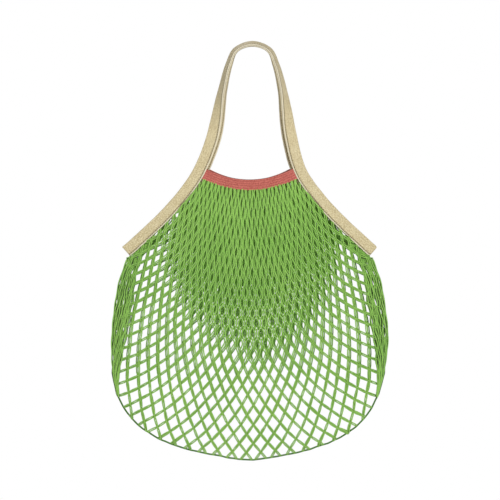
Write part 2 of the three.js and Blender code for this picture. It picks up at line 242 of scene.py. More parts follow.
def colour(hex_text):
    """Linear colour with alpha from an sRGB hex colour."""
    srgb = np.array([int(hex_text[k:k + 2], 16) for k in (0, 2, 4)]) / 255
    linear = np.where(srgb <= 0.04045, srgb / 12.92, ((srgb + 0.055) / 1.055) ** 2.4)
    return (*linear, 1.0)


def node(tree, kind, links=None, **settings):
    """A shader node. Links give each input a value, an output, or a node for its first output."""
    made = tree.nodes.new(kind)
    for key, value in settings.items():
        setattr(made, key, value)
    for key, value in (links or {}).items():
        if isinstance(value, bpy.types.Node):
            value = value.outputs[0]
        if isinstance(value, bpy.types.NodeSocket):
            tree.links.new(value, made.inputs[key])
        else:
            made.inputs[key].default_value = value
    return made


def new_material(name):
    """An empty material with its tree, its principled shader and the shader's output joined."""
    material = bpy.data.materials.new(name)
    material.use_nodes = True
    tree = material.node_tree
    tree.nodes.clear()
    surface = node(tree, "ShaderNodeBsdfPrincipled")
    node(tree, "ShaderNodeOutputMaterial", {"Surface": surface.outputs["BSDF"]})
    return material, tree, surface


def weighed(tree, terms, offset=0.0, kept=False):
    """The offset plus each value times its weight, and if asked kept between 0 and 1."""
    total = offset
    for value, weight in terms:
        total = node(tree, "ShaderNodeMath", {0: value, 1: weight, 2: total}, operation="MULTIPLY_ADD")
    total.use_clamp = kept
    return total


def painted_crease_shade(tree, reach, lit, deep):
    """Painted shade: a colour that turns to the deep one where neighbours closer than reach in metres hide
    the light.
    """
    in_the_open = node(tree, "ShaderNodeAmbientOcclusion", {"Distance": reach}, samples=6).outputs["AO"]
    share = weighed(tree, [(in_the_open, 2.6)], -0.8, kept=True)
    return node(tree, "ShaderNodeMix", {0: share, 6: colour(deep), 7: lit}, data_type="RGBA").outputs[2]


def matt_surface(tree, surface, base, height, relief, roughness, gloss, sheen):
    """Cotton's finish: its colour, a relief of up to 0.4 mm, and the soft sheen of loose fibres."""
    bump = node(tree, "ShaderNodeBump", {"Height": height, "Strength": relief, "Distance": 0.0004})
    tree.links.new(bump.outputs[0], surface.inputs["Normal"])
    tree.links.new(base, surface.inputs["Base Color"])
    surface.inputs["Roughness"].default_value = roughness
    surface.inputs["Specular IOR Level"].default_value = gloss
    surface.inputs["Sheen Weight"].default_value = sheen


def weave_material(name, light, dark, deep, pitch, slant, lines):
    """Woven cotton whose UV is millimetres along and across it: slanted ribs of yarn, a little uneven.

    Its ribs are a sine of the length along plus slant times the place across, crossed by a finer sine
    of the place across. Flecks are about 2 mm wide, coarser than real yarn, which would not show, and
    worn patches about 17 mm. Lines along it are given as in TAPE_PAINTED_LINES and waver with the flecks.
    """
    material, tree, surface = new_material(name)
    place = node(tree, "ShaderNodeUVMap")
    along, across, _ = node(tree, "ShaderNodeSeparateXYZ", {0: place}).outputs
    turn = 2 * np.pi / pitch
    slanted = weighed(tree, [(across, slant * turn), (along, turn)])
    ribs = node(tree, "ShaderNodeMath", {0: slanted}, operation="SINE")
    straight = weighed(tree, [(across, turn / 0.8)])
    cross = node(tree, "ShaderNodeMath", {0: straight}, operation="SINE")
    yarn = weighed(tree, [(ribs, 0.25), (cross, 0.25)])
    fleck_look = {"Vector": place, "Scale": 0.55, "Detail": 3.0, "Roughness": 0.75}
    fleck = node(tree, "ShaderNodeTexNoise", fleck_look)
    worn = node(tree, "ShaderNodeTexNoise", {"Vector": place, "Scale": 0.06, "Detail": 2.0})
    share = weighed(tree, [(fleck, 2.3), (yarn, 0.35), (worn, 0.35)], -0.78, kept=True)
    tones = {0: share, 6: colour(dark), 7: colour(light)}
    cloth = node(tree, "ShaderNodeMix", tones, data_type="RGBA").outputs[2]
    # Painted lines: highlights and shade laid along it on the cloth's colour.
    for middle, reach, tone, strength in lines:
        off = weighed(tree, [(across, 1.0), (fleck, 0.5)], -middle - 0.25)
        off = node(tree, "ShaderNodeMath", {0: off}, operation="ABSOLUTE")
        near = weighed(tree, [(off, -1 / reach)], 1.5, kept=True)
        tones = {0: weighed(tree, [(near, strength)]), 6: cloth, 7: colour(tone)}
        cloth = node(tree, "ShaderNodeMix", tones, data_type="RGBA").outputs[2]
    height = weighed(tree, [(yarn, 1.0), (fleck, 0.5)])
    # Painted shade: the colour turns to the deep one where close neighbours hide the light.
    matt_surface(tree, surface, painted_crease_shade(tree, 0.005, cloth, deep), height, 0.8, 0.92, 0.15, 0.25)
    return material


def tape_at(path, places):
    """A tape's centre, width and thickness directions at lengths along it."""
    length, centre, width, thickness, _ = path
    return (
        sampled(places, length, centre),
        normalised(sampled(places, length, width)),
        normalised(sampled(places, length, thickness)),
    )


def tape_section():
    """The tape's cut section in its width and thickness: two layers, joined round the outer edge.

    The loop runs down one layer, round the fold, back along the other and in and out of the slit
    between them. Beside the stitches each layer dips by a bell curve. The selvedges' corners are cut
    off by 0.2 to 0.3.
    """
    half_width, half = TAPE_WIDTH / 2, TAPE_THICKNESS / 2
    gap = half - LAYER
    flat = np.linspace(-half_width + 0.25, half_width - half, 9)
    dip = PINCH * np.exp(-(((flat + half_width - STITCH_ROW) / PINCH_REACH) ** 2))
    turn = np.linspace(np.pi / 2, -np.pi / 2, 7)[1:-1]
    upper = np.stack([flat, half - dip], 1)
    fold = np.stack([half_width - half + half * np.cos(turn), half * np.sin(turn)], 1)
    selvedge = np.array([(-half_width, -half + 0.3), (-half_width, -gap - 0.2)])
    slit = np.array([(0.2, -gap), (PARTING, -gap * 0.6), (PARTING, gap * 0.6), (0.2, gap)]) - (half_width, 0)
    return np.vstack([upper, fold, upper[::-1] * (1, -1), selvedge, slit, selvedge[::-1] * (1, -1)])


def tape_piece(name, path, side, material, seed):
    """One tape's mesh: the section carried along its path, with small random strays and curls.

    The end's corners are round: its width follows a quarter of an ellipse there.
    """
    length = path[0]
    stations = np.append(np.arange(0, length[-1], SECTION_STEP), length[-1])
    rng = np.random.default_rng(seed)
    knots = np.linspace(0, length[-1], WEAR_STEPS)
    sway = np.interp(stations, knots, rng.normal(0, SWAY, WEAR_STEPS))[:, None]
    curl = np.interp(stations, knots, rng.normal(0, CURL, WEAR_STEPS))[:, None]
    middle, w, t = tape_at(path, stations)
    middle = middle + w * sway
    section = tape_section()
    to_end = np.clip((length[-1] - stations) / END_ROUND, 0, 1)[:, None]
    across = section[:, 0] * lerp(END_WIDTH, 1, np.sqrt(1 - (1 - to_end) ** 2))
    through = section[:, 1] + curl * np.abs(section[:, 0]) / (TAPE_WIDTH / 2)
    rings = middle[:, None] + w[:, None] * across[..., None] + t[:, None] * through[..., None]
    vertices, faces = swept(rings)
    u, v = np.meshgrid(stations, section[:, 0] + TAPE_WIDTH / 2, indexing="ij")
    uv = np.vstack([np.stack([u.ravel(), v.ravel()], 1), (0, 0), (length[-1], 0)])
    piece = mesh_piece(name, vertices, [faces[:, ::-1]], material, uv, to_back=side > 0)
    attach(piece, "root")
    return piece


def tubes(paths, radius):
    """Vertices and face tables of tubes along paths of equal count, closed and thinner at their ends."""
    number, stations = paths.shape[:2]
    along = normalised(np.gradient(paths, axis=1))
    across = normalised(np.cross(along, (0.0, 1.0, 0.0)))
    over = np.cross(across, along)
    angle = np.arange(SIDES) * 2 * np.pi / SIDES
    around = across[:, :, None] * np.cos(angle)[:, None] + over[:, :, None] * np.sin(angle)[:, None]
    scale = np.ones(stations)
    scale[[0, -1]] = 0.5
    thick = np.broadcast_to(radius, (number, stations)) * scale
    rings = paths[:, :, None] + around * thick[..., None, None]
    base = np.arange(number * stations * SIDES).reshape(number, stations, SIDES)
    p, q = base[:, :-1], base[:, 1:]
    walls = np.stack([p, np.roll(p, -1, 2), np.roll(q, -1, 2), q], -1).reshape(-1, 4)
    return rings.reshape(-1, 3), [walls, base[:, 0], base[:, -1, ::-1]]


def yarn_material(name, light, dark, deep):
    """Twisted cotton yarn: patches of dye some 70 mm wide, and a nap of fibres some 2 mm long."""
    material, tree, surface = new_material(name)
    place = node(tree, "ShaderNodeTexCoord").outputs["Object"]
    nap_look = {"Vector": place, "Scale": 420.0, "Detail": 3.0, "Roughness": 0.7}
    nap = node(tree, "ShaderNodeTexNoise", nap_look)
    dye = node(tree, "ShaderNodeTexNoise", {"Vector": place, "Scale": 14.0, "Detail": 2.0})
    share = weighed(tree, [(dye, 0.6), (nap, 0.6)], kept=True)
    tones = {0: share, 6: colour(dark), 7: colour(light)}
    lit = node(tree, "ShaderNodeMix", tones, data_type="RGBA").outputs[2]
    # Painted shade: the colour turns to the deep one where close neighbours hide the light.
    matt_surface(tree, surface, painted_crease_shade(tree, 0.0035, lit, deep), nap, 0.5, 0.85, 0.2, 0.3)
    return material


def stitch_piece(name, path, side, material):
    """The row of lockstitches along a tape's inner edge, on both its faces, as small sunk tubes.

    Each rises from its ends to its middle by the root of a half sine.
    """
    starts = np.arange(STITCH_MARGIN, path[0][-1] - STITCH_LENGTH - STITCH_MARGIN, STITCH_PITCH)
    share = np.linspace(0, 1, 6)
    places = starts[:, None] + share * STITCH_LENGTH
    centre, width, thickness = tape_at(path, places)
    middle = centre + width * (STITCH_ROW - TAPE_WIDTH / 2)
    lift = (TAPE_THICKNESS / 2 - STITCH_SUNK + STITCH_RISE * np.sin(np.pi * share) ** 0.5)[:, None]
    off = thickness * lift
    vertices, faces = tubes(np.concatenate([middle + off, middle - off]), STITCH_RADIUS)
    piece = mesh_piece(name, vertices, faces, material, to_back=side > 0)
    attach(piece, "root")
    return piece


# Cream cotton, thick and matt, with flecks of darker yarn: it gives the eye a warm, slightly fuzzy
# strap. Its ribs are drawn 1.5 mm apart, about twice as coarse as the real ones, so that they show.
# Its third colour is the painted shade where it lies close to other pieces.
tape_cotton = weave_material("undyed cotton tape", "fff3cc", "b39b64", "4d3c1c", 1.5, 0.8, TAPE_PAINTED_LINES)
front_path = tape_path(0.0)
back_path = tape_path(BACK_INSET)
front_tape = tape_piece("tape_front", front_path, -1, tape_cotton, 3)
back_tape = tape_piece("tape_back", back_path, 1, tape_cotton, 4)
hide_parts("strap_front")
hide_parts("strap_back")
# Bobbin thread of the same cotton, a shade lighter: a bright dotted line beside the furrow's painted shade.
# Its third colour is the painted shade where it lies close to the tape.
stitch_cotton = yarn_material("undyed sewing thread", "fbf1d6", "cdbb8c", "6b5a34")
front_stitches = stitch_piece("stitches_front", front_path, -1, stitch_cotton)
back_stitches = stitch_piece("stitches_back", back_path, 1, stitch_cotton)
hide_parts("strap_front")
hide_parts("strap_back")


# Mouth bands. A short binding of coral cotton rep gathers the top edge of each face of the net. It is
# folded over the net's edge, has fine ribs along it, sags between the tapes and ends under them.
BAND_HEIGHT = 15.5
BAND_THICKNESS = 2.0
BAND_SAG = 16.0
BAND_RIBS = 5
RIB_HEIGHT = 0.3
HEM_HEIGHT = 0.25  # its lower edge, folded in, is this much thicker
BAND_PROUD = 0.1  # how far its faces lie proud of their place, to cover the net's threads
BAND_TUCK = 2.4  # its ends run this far in between the layers of the tapes
BAND_STEPS = 110
PRESSED = 0.62  # its ends are flatter by this share, over five steps, where they go in there
PLAIN_BACK = 40  # added to the place across on the inner face, which keeps the painted lines off it
# Painted shade along it, measured up from its middle: dark lines in the furrows between its ribs, and a
# darker one along the fold at its top.
BAND_PAINTED_SHADE = [(up, 0.4, "8e332d", 0.4) for up in (4.6, 1.5, -1.5, -4.6)] + [(7.5, 0.7, "5b352c", 0.9)]


def beside_tape(path, places, gap=PIECE_GAP):
    """Points beside a tape's inner edge, on the net's side, at lengths along it."""
    centre, width, _ = tape_at(path, places)
    return centre - width * (TAPE_WIDTH / 2 + gap)


def line_across(path, reach, u, tuck=0.0):
    """A sagging line between the two sides of a tape, this far above its mouth (below, if negative)."""
    left_mouth, right_mouth = path[4]
    left = beside_tape(path, np.array([left_mouth + reach]), PIECE_GAP - tuck)[0]
    right = beside_tape(path, np.array([right_mouth - reach]), PIECE_GAP - tuck)[0]
    band_top = beside_tape(path, np.array([left_mouth + BAND_HEIGHT / 2]), PIECE_GAP - tuck)[0]
    sag = BAND_SAG + left[2] - band_top[2] + BAND_HEIGHT / 2 - reach
    line = lerp(left, right, u[:, None])
    line[:, 2] -= 4 * sag * u * (1 - u)
    return line


def band_piece(name, path, side, material):
    """One mouth band's mesh: a strip between two sagging lines, ribbed and folded over at its top.

    Its ribs are arches of a sine, the hem is a bell curve, and its two long edges are round.
    """
    u = np.linspace(0, 1, BAND_STEPS)
    v = np.linspace(0.02, 0.98, 41)
    ribs = RIB_HEIGHT * np.abs(np.sin(np.pi * BAND_RIBS * v))
    ribs += HEM_HEIGHT * np.exp(-(((v - 0.04) / 0.06) ** 2))
    taper = np.minimum(1, np.minimum(v, 1 - v) / 0.05) ** 0.5
    out = BAND_THICKNESS / 2 * taper + BAND_PROUD + ribs
    front = np.stack([lerp(-BAND_HEIGHT / 2, BAND_HEIGHT / 2, v), -out], 1)
    section = np.vstack([front, (front * (1, -1))[::-1]])
    heights = np.unique(section[:, 0])
    lines = np.array([line_across(path, h, u, BAND_TUCK) for h in heights])
    rings = lines[np.searchsorted(heights, section[:, 0])].transpose(1, 0, 2).copy()
    thin = 1 - PRESSED * np.clip(1 - np.minimum(u, 1 - u) * BAND_STEPS / 5, 0, 1)
    rings[:, :, 1] += section[:, 1] * thin[:, None]
    vertices, faces = swept(rings)
    run = length_along(rings[:, 0])
    place = section[:, 0] + np.where(section[:, 1] > 0, PLAIN_BACK, 0)
    along, across = np.meshgrid(run, place, indexing="ij")
    uv = np.vstack([np.stack([along.ravel(), across.ravel()], 1), (0, 0), (0, 0)])
    piece = mesh_piece(name, vertices, [faces], material, uv, to_back=side > 0)
    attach(piece, "root")
    return piece


# Coral cotton, woven with fine ribs along it: a strong, matt red-pink edge to the green net. Its cross
# ribs, 1.3 mm apart, are also drawn about twice as coarse as the real ones.
# Its third colour is the painted shade where it lies close to other pieces.
band_cotton = weave_material("coral cotton rep", "ec8d80", "a8463e", "5c211c", 1.3, 0.0, BAND_PAINTED_SHADE)
front_band = band_piece("band_front", front_path, -1, band_cotton)
back_band = band_piece("band_back", back_path, 1, band_cotton)
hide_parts("mouth_band_front")
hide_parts("mouth_band_back")


# Net. One tube of knotless green cotton, sewn shut in a curve along the bottom. Each leg of a mesh is
# two threads side by side, and at every crossing the inner threads change legs. The meshes hang shut
# under the gathered mouth and open towards the bottom. The side folds gather into a bundle.
NET_WIDTH = 389.0
FOLD_DROP = 193.0  # from the bottom of the slits to the seam's corners
SEAM_SAG = 92.5  # and from there to its middle
SEAM_DRIFT = 3.0  # the corners hang this far to the left
BELLY_DEPTH = 46.0  # between the two faces, where they are furthest apart
THREAD = 0.93  # radius of one thread
SHUT_LEG = 14.3  # from crossing to crossing, where the meshes hang shut
UNDER_BAND = 5.0  # the net's top edge lies this far up behind the lower edge of the band
BAND_CLEAR = 1.7  # and there its threads lie this far behind the band's middle
# Rows down a fold: share of the way out, share of the drop and share of the drift.
FOLD_SHAPE = np.array([
    (0.25, 0.015, 0), (0.38, 0.08, 0), (0.6, 0.165, 0), (0.83, 0.34, 0), (1, 0.6, 0),
    (0.89, 0.82, 0.6), (0.6, 1, 1),
])
# Rows along the seam to its middle: share of the half width, share of the sag.
SEAM_SHAPE = np.array([(0.91, 0.32), (0.745, 0.61), (0.51, 0.814), (0.25, 0.934), (0, 1)])
# The mesh columns from the middle and rows from the mouth that lie on the outline, going down a side.
# Each row starts with the share of the tape's length, of the fold's drop or of the seam's half width.
TAPE_MESHES = np.array([
    (0, 12.5, -0.12), (0.12, 13.7, 0.69), (0.38, 15.3, 2.27), (0.68, 16.5, 4.11), (0.89, 17.05, 5.38),
    (1, 17.2, 6.0),
])
FOLD_MESHES = np.array([
    (0, 17.2, 6.0), (0.015, 17.4, 6.3), (0.08, 17.0, 6.8), (0.165, 16.45, 7.36), (0.34, 15.03, 8.43),
    (0.6, 13.04, 9.89), (0.82, 11.46, 11.01), (1, 10.14, 11.92),
])
SEAM_MESHES = np.array([
    (0, 0, 13.54), (0.25, 2.21, 13.4), (0.51, 4.49, 13.29), (0.745, 6.73, 13.08), (0.91, 8.7, 12.6),
    (1, 10.14, 11.92),
])
MIDDLE_DRIFT = np.array([0.25, -0.12])  # of the meshes at the middle of the seam
COLUMNS, ROWS = 21, 14  # no mesh lies further from the middle, or further down
# The run of a leg that goes down to the right, as measured on the real net's threads: across and
# down, in rows down the face and columns at its far left, middle and far right. Legs to the left
# mirror it.
LEG_RUN = np.array([
    ((-5.4, 11.0), (2.7, 14.2), (14.3, 1.8)),
    ((-5.1, 12.6), (3.9, 14.0), (15.1, 2.8)),
    ((-2.3, 14.7), (6.4, 14.6), (16.1, 5.0)),
    ((1.9, 14.6), (9.3, 13.4), (16.2, 5.7)),
])
RUN_REACH = 182.0  # from the bag's middle to the outer columns
RUN_TOP = -201.6  # height of the first row
RUN_STEP = 112.0  # and from row to row
STRAIGHT = 0.6  # weight of a thread's bend, when a leg's missed run weighs 1
ROUNDS = 8
# Columns narrower than the first width hang shut, and wider than the second stand open. Away from the
# bag's middle, this share of the distance counts as width.
SHUT_RUN = (12.2, 14.4)
ASIDE = 0.023
BACK_FADE = (-500.0, -420.0)  # heights between which the back face's open meshes start to move aside
OPEN_SHIFT = 0.22  # of a column, sideways
BACK_DROP = 3.6
JITTER = (0.4, 0.24, 0.4)  # of each crossing
WIDEST = NET_WIDTH / 2 - 3.5  # no crossing lies further out, so that the bundles cover them all
# From a leg's middle to each of its two threads, on the front and on the back face, and from a
# crossing's middle to its two outer joins, where shut columns are as wide as SHUT_WIDTHS says.
SHUT_WIDTHS = (5.5, 10.0, 12.5)
SHUT_SPREAD = {-1: (0.5, 1.3, 1.6), 1: (0.5, 1.0, 0.95)}
SHUT_TURN = (1.2, 2.1, 2.3)
OPEN_SPREAD, OPEN_TURN = 1.05, 1.2  # the same where the meshes stand open
SHUT_DEPTH, OPEN_DEPTH = 0.7, 0.3  # of a leg's threads, one before its middle and one behind it
JOIN_DEPTH = 0.8  # of the two threads that change legs at a crossing
SHUT_FULLNESS = 1.22  # untaut threads are this much thicker
UNEVEN = 0.05  # share by which their thickness varies
BAND_PART, TAPE_PART, FOLD_PART, SEAM_PART = range(4)  # the parts of the outline
# Rows for the cut ends, part by part: how far they run on past the outline, how far apart their two
# threads are, as a share, and how far they are drawn in sideways.
RUN_ON = np.array([0.0, 2.5, -2.2, -0.3])
ENDS_APART = np.array([0.9, 0.5, 0.8, 0.5])
DRAWN_IN = np.array([0.0, 0.0, 3.2, 0.0])
# A crossing's four joins: the left threads meet, the right ones meet, and two threads change legs.
LEFT_TURN, RIGHT_TURN, OVER, UNDER = range(4)


def half_outline(path, side):
    """One side of the net's outline from the mouth to the seam's middle: points, meshes and parts."""
    right = side > 0
    length = path[0][-1]
    reach = BAND_HEIGHT / 2 + PIECE_GAP
    mouth = path[4][1] + reach if right else path[4][0] - reach
    places = np.linspace(mouth, length if right else 0.0, 60)
    tape = beside_tape(path, places)
    tape_share = length_along(tape) / length_along(tape)[-1]
    tape_mesh = sampled(tape_share, TAPE_MESHES[:, 0], TAPE_MESHES[:, 1:])
    start = tape[-1]
    edge = abs(start[0] - BAG_MIDDLE)
    across, down, drift = FOLD_SHAPE.T
    fold_x = BAG_MIDDLE - SEAM_DRIFT * drift + side * lerp(edge, NET_WIDTH / 2, across)
    fold = np.stack([fold_x, np.zeros_like(fold_x), start[2] - FOLD_DROP * down], 1)
    fold = smooth_curve(np.vstack([start * (1, 0, 1), fold]), 20)[0]
    fold_mesh = sampled((start[2] - fold[:, 2]) / FOLD_DROP, FOLD_MESHES[:, 0], FOLD_MESHES[:, 1:])
    corner = fold[-1]
    across, down = SEAM_SHAPE.T
    seam_x, seam_z = lerp(BAG_MIDDLE, corner[0], across), corner[2] - SEAM_SAG * down
    seam = np.stack([seam_x, 0 * seam_x, seam_z], 1)
    mirrored = (seam[-2] - seam[-1]) * (-1, 1, 1) + seam[-1]
    seam = smooth_curve(np.vstack([corner, seam, mirrored]), 20)[0][:-20]
    seam_share = np.abs(seam[:, 0] - BAG_MIDDLE) / abs(corner[0] - BAG_MIDDLE)
    seam_mesh = sampled(seam_share, SEAM_MESHES[:, 0], SEAM_MESHES[:, 1:])
    points = np.vstack([tape, fold[1:], seam[1:]])
    meshes = np.vstack([tape_mesh, fold_mesh[1:], seam_mesh[1:]]) * (side, 1)
    meshes[-len(seam_mesh) + 1:] += (1 - seam_share[1:, None]) * MIDDLE_DRIFT
    part = np.repeat([TAPE_PART, FOLD_PART, SEAM_PART], [len(tape), len(fold) - 1, len(seam) - 1])
    return points, meshes, part


def net_outline(path):
    """The whole outline of one face, once round: points, meshes and the part of each."""
    right, left = half_outline(path, 1), half_outline(path, -1)
    u = np.linspace(0, 1, 60)[1:-1]
    band = line_across(path, UNDER_BAND - BAND_HEIGHT / 2, u)
    corner = TAPE_MESHES[0, 1:]
    band_mesh = lerp(corner * (-1, 1), corner, u[:, None]) - (0, UNDER_BAND / (2 * SHUT_LEG))
    pieces = zip((band, band_mesh, np.full(len(u), BAND_PART)), right, [part[-2::-1] for part in left])
    return [np.concatenate(piece) for piece in pieces]


def inside(points, ring):
    """Whether each flat point lies inside a closed ring: its level ray crosses the ring oddly often."""
    a, b = ring, np.roll(ring, -1, axis=0)
    x, y = points[:, :1], points[:, 1:]
    spans = (a[:, 1] > y) != (b[:, 1] > y)
    rise = np.where(b[:, 1] == a[:, 1], 1e-9, b[:, 1] - a[:, 1])
    cross = a[:, 0] + (y - a[:, 1]) * (b[:, 0] - a[:, 0]) / rise
    return (spans & (x < cross)).sum(1) % 2 == 1


def ring_crossing(start, end, ring):
    """Where each line from start to end crosses a closed ring: its share, the ring's edge, that share.

    Both shares come from the cross products of the line, of the edge and of the step between their starts.
    """
    a, b = ring, np.roll(ring, -1, axis=0)
    d = (end - start)[:, None]
    e = (b - a)[None]
    offset = a[None] - start[:, None]
    area = d[..., 0] * e[..., 1] - d[..., 1] * e[..., 0]
    area = np.where(np.abs(area) < 1e-12, 1e-12, area)
    share = (offset[..., 0] * e[..., 1] - offset[..., 1] * e[..., 0]) / area
    place = (offset[..., 0] * d[..., 1] - offset[..., 1] * d[..., 0]) / area
    hit = (share >= -1e-6) & (share <= 1 + 1e-6) & (place >= -1e-6) & (place <= 1 + 1e-6)
    share = np.where(hit, share, 2.0)
    edge = share.argmin(1)
    rows = np.arange(len(start))
    return share[rows, edge], edge, place[rows, edge]


def net_layout(path):
    """The crossings and legs of one face, still unrelaxed.

    Every other place on a grid of half columns and half rows is a crossing, with four legs. Legs are
    cut where they cross the outline. Gives all mesh places, the cut ends' points, the number of free
    crossings, legs as pairs from upper to lower, their share of a whole leg, and each cut end's part.
    """
    outline, meshes, part = net_outline(path)
    halves = np.arange(-2 * COLUMNS, 2 * COLUMNS + 1) / 2
    columns, rows = np.meshgrid(halves, np.arange(2 * ROWS + 1) / 2, indexing="ij")
    grid = np.stack([columns.ravel(), rows.ravel()], 1)
    grid = grid[(2 * grid.sum(1)).round() % 2 == 0]
    free = grid[inside(grid, meshes)]
    index = {tuple(place): k for k, place in enumerate(free)}
    legs, starts, ends = [], [], []
    for k, place in enumerate(free):
        for step in ((-0.5, -0.5), (0.5, -0.5), (-0.5, 0.5), (0.5, 0.5)):
            other = (place[0] + step[0], place[1] + step[1])
            if other in index:
                if step[1] > 0:
                    legs.append((k, index[other]))
            else:
                starts.append(k)
                ends.append(other)
    starts, ends = np.array(starts), np.array(ends)
    share, edge, along = ring_crossing(free[starts], ends, meshes)
    after = (edge + 1) % len(outline)
    cut = lerp(outline[edge], outline[after], along[:, None])
    cut_mesh = lerp(meshes[edge], meshes[after], along[:, None])
    new = len(free) + np.arange(len(starts))
    below = (ends[:, 1] > free[starts, 1])[:, None]
    cut_legs = np.where(below, np.stack([starts, new], 1), np.stack([new, starts], 1))
    legs = np.vstack([legs, cut_legs])
    share = np.append(np.ones(len(legs) - len(new)), share)
    return np.vstack([free, cut_mesh]), cut, len(free), legs, share, part[edge]


def balance_of(legs, weight, held, count):
    """The balance of the free crossings between their neighbours, each leg pulling by its weight.

    Gives its table of weights and the pull of the held ends, which solved give the crossings' values.
    """
    total = count + len(held)
    table = np.zeros((total, total))
    a, b = legs.T
    np.add.at(table, (a, b), -weight)
    np.add.at(table, (b, a), -weight)
    table[np.arange(total), np.arange(total)] = -table.sum(1)
    return table[:count, :count], -table[:count, count:] @ held


def leg_run(places):
    """How far a whole leg that goes down to the right runs, across and up, at flat places on the face.

    Read from LEG_RUN: a parabola through its columns, and a cubic curve through its rows.
    """
    x = (places[:, 0] - BAG_MIDDLE) / RUN_REACH
    t = (RUN_TOP - places[:, 1]) / RUN_STEP
    columns = np.stack([x * (x - 1) / 2, 1 - x * x, x * (x + 1) / 2], 1)
    t = np.clip(t, -0.2, 3.2)
    rows = np.stack([
        -(t - 1) * (t - 2) * (t - 3) / 6,
        t * (t - 2) * (t - 3) / 2,
        -t * (t - 1) * (t - 3) / 2,
        t * (t - 1) * (t - 2) / 6,
    ], 1)
    return np.einsum("nr,nc,rck->nk", rows, columns, LEG_RUN) * (1, -1)


def settled(points, count, legs, share, way):
    """Points moved until each leg runs as it should where it lies, and no thread kinks.

    Each round solves one least-squares balance: the legs' misses, weighed by 1 / share, and the bends
    between one leg and the next on the same thread line. The cut ends stay.
    """
    a, b = legs.T
    legs_at, total = np.arange(len(legs)), len(points)
    miss = np.zeros((len(legs), total))
    weight = 1 / np.sqrt(np.maximum(share, 0.15))
    miss[legs_at, a], miss[legs_at, b] = -weight, weight
    bends = []
    for direction in (-1, 1):
        chosen = np.flatnonzero(way == direction)
        by_upper = dict(zip(a[chosen], b[chosen]))
        bends += [(u, v, by_upper[v]) for u, v in zip(a[chosen], b[chosen]) if v in by_upper]
    before, here, after = np.array(bends).T
    bend = np.zeros((len(bends), total))
    row = np.arange(len(bends))
    bend[row, before], bend[row, here], bend[row, after] = STRAIGHT, -2 * STRAIGHT, STRAIGHT
    table = np.vstack([miss, bend])
    free, held = table[:, :count], table[:, count:]
    square = np.linalg.inv(free.T @ free) @ free.T
    points = points.copy()
    for _ in range(ROUNDS):
        middle = (points[a] + points[b]) / 2 - (BAG_MIDDLE, 0)
        mirror = np.stack([way, np.ones_like(way)], 1)
        run = leg_run(middle * mirror + (BAG_MIDDLE, 0)) * mirror
        goal = np.vstack([run * (share * weight)[:, None], np.zeros((len(bends), 2))])
        points[:count] = square @ (goal - held @ points[count:])
    return points


MESHES, CUT, FREE, LEGS, SHARE, PART = net_layout(front_path)
WAY = np.sign(MESHES[LEGS[:, 1], 0] - MESHES[LEGS[:, 0], 0]).astype(int)
balance, pull = balance_of(LEGS, 1 / np.maximum(SHARE, 0.2), CUT, FREE)
SHEET = np.vstack([np.linalg.solve(balance, pull), CUT])
FLAT = settled(SHEET[:, [0, 2]], FREE, LEGS, SHARE, WAY)
# The net bellies as if blown up a little: an even push on every crossing, softened by a square root.
pressure = np.linalg.solve(balance, np.ones(FREE))
SWELL = np.append((pressure / pressure.max()) ** 0.5, np.zeros(len(CUT)))
depth = SHEET[:, 1] - SWELL * (BELLY_DEPTH / 2 + SHEET[:FREE, 1][pressure.argmax()])
FRONT = np.stack([FLAT[:, 0], depth, FLAT[:, 1]], 1)


def joins():
    """The join at the upper and at the lower end of each thread, two threads to a leg, left first."""
    upper = np.where(WAY[:, None] > 0, (OVER, RIGHT_TURN), (LEFT_TURN, UNDER))
    lower = np.where(WAY[:, None] > 0, (LEFT_TURN, OVER), (UNDER, RIGHT_TURN))
    cut_base = 4 * FREE + 2 * (LEGS - FREE)
    ends = []
    for column, kind in ((0, upper), (1, lower)):
        place = LEGS[:, column, None]
        cut = cut_base[:, column, None] + np.arange(2)
        ends.append(np.where(place < FREE, 4 * place + kind, cut).ravel())
    return ends


def column_run(points):
    """How far it is from each crossing to the next one beside it, from the legs on both its sides."""
    line = (points[LEGS[:, 1]] - points[LEGS[:, 0]]) * WAY[:, None]
    run = np.zeros_like(points)
    np.add.at(run, LEGS[:, 0], line)
    np.add.at(run, LEGS[:, 1], line)
    a, b = LEGS[-len(CUT):].T
    run[FREE:] = run[np.where(a < FREE, a, b)]
    return run / 2


def open_share(points, run):
    """How far the meshes stand open, from 0 where they hang shut: it grows with the column's width.

    Away from the bag's middle, narrower columns open already.
    """
    width = np.linalg.norm(run, axis=1) + ASIDE * np.abs(points[:, 0] - BAG_MIDDLE)
    return np.clip((width - SHUT_RUN[0]) / (SHUT_RUN[1] - SHUT_RUN[0]), 0, 1)


def back_sheet(points):
    """The back face's crossings: the front's, moved so that they show through its gaps.

    They move half a column sideways where the meshes hang shut, less and a little down where they
    stand open, and not at all along the tapes, the folds and the seam.
    """
    run = column_run(points)
    shut = 1 - open_share(points, run)[:, None]
    fade = np.clip((points[:, 2] - BACK_FADE[0]) / (BACK_FADE[1] - BACK_FADE[0]), 0, 1)[:, None]
    in_first_row = MESHES[:, 1] < 0.8
    away = np.maximum(np.clip(SWELL / 0.4, 0, 1), in_first_row)[:, None]
    outward = np.clip((points[:, :1] - BAG_MIDDLE) / 60, -1, 1)
    sideways = run * (0.5 * shut + OPEN_SHIFT * outward * (1 - shut) * fade)
    down = np.array([0.0, 0.0, BACK_DROP]) * fade * (1 - shut)
    return points + away * (sideways - down)


def on_curve(p0, p1, p2, p3, t):
    """The point and the slope this share of the way from p1 to p2 on a thread's curve.

    It is the cubic that passes through both and slopes there as half the line between the neighbours.
    """
    m1, m2 = (p2 - p0) / 2, (p3 - p1) / 2
    point = p1 * (2 * t**3 - 3 * t**2 + 1) + m1 * (t**3 - 2 * t**2 + t)
    point += p2 * (3 * t**2 - 2 * t**3) + m2 * (t**3 - t**2)
    slope = (p1 - p2) * (6 * t**2 - 6 * t) + m1 * (3 * t**2 - 4 * t + 1) + m2 * (3 * t**2 - 2 * t)
    return point, slope


